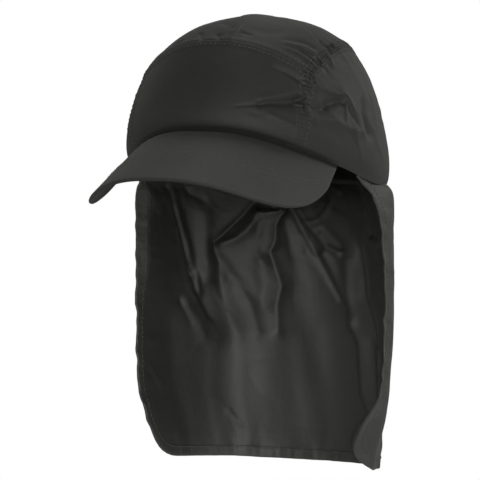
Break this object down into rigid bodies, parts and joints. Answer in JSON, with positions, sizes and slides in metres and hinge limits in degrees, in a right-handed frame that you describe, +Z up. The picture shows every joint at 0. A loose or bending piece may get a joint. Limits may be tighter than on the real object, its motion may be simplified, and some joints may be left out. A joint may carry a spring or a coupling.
{
  "type": "legionnaire cap",
  "caption": "Soft cloth cap with a curved brim in front and a long hemmed neck flap hanging behind and at the sides.",
  "frame": {"origin": "the middle of the head opening, level with the crown's lower edge at the nape, where a head holds the cap", "axes": "+Z up through the crown, -Y the way the cap faces, +X the wearer's left"},
  "size_m": [0.1878, 0.2732, 0.318],
  "materials": {
    "shell_cloth": "plain woven nylon with a soft sheen",
    "brim_cloth": "plain woven nylon, topstitched in rows",
    "band_twill": "matte cotton twill"
  },
  "bodies": {
    "root": {"front_panel": "shell_cloth", "top_panel_left": "shell_cloth", "top_panel_right": "shell_cloth", "side_panel_left": "shell_cloth", "side_panel_right": "shell_cloth", "brim": "brim_cloth", "sweatband": "band_twill", "neck_flap": "shell_cloth", "flap_hem": "shell_cloth"}
  },
  "joints": []
}
